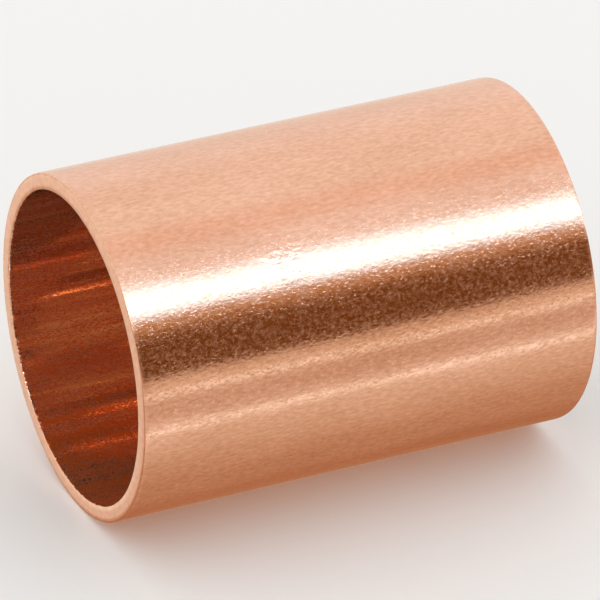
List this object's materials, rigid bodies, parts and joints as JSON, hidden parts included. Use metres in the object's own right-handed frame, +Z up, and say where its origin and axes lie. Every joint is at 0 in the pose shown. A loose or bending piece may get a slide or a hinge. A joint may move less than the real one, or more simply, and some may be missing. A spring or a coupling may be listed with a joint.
{
  "type": "copper tube coupling",
  "caption": "Plain straight copper sleeve that joins two 15 mm copper tubes end to end by soldering, open right through, with no stop inside.",
  "frame": {"origin": "centre of the bore, at half the sleeve's length", "axes": "+X along the bore, +Z up with the sleeve lying on its side"},
  "size_m": [0.023, 0.0166, 0.0166],
  "materials": {
    "copper": null
  },
  "bodies": {
    "root": {"coupling_sleeve": "copper"}
  },
  "joints": []
}
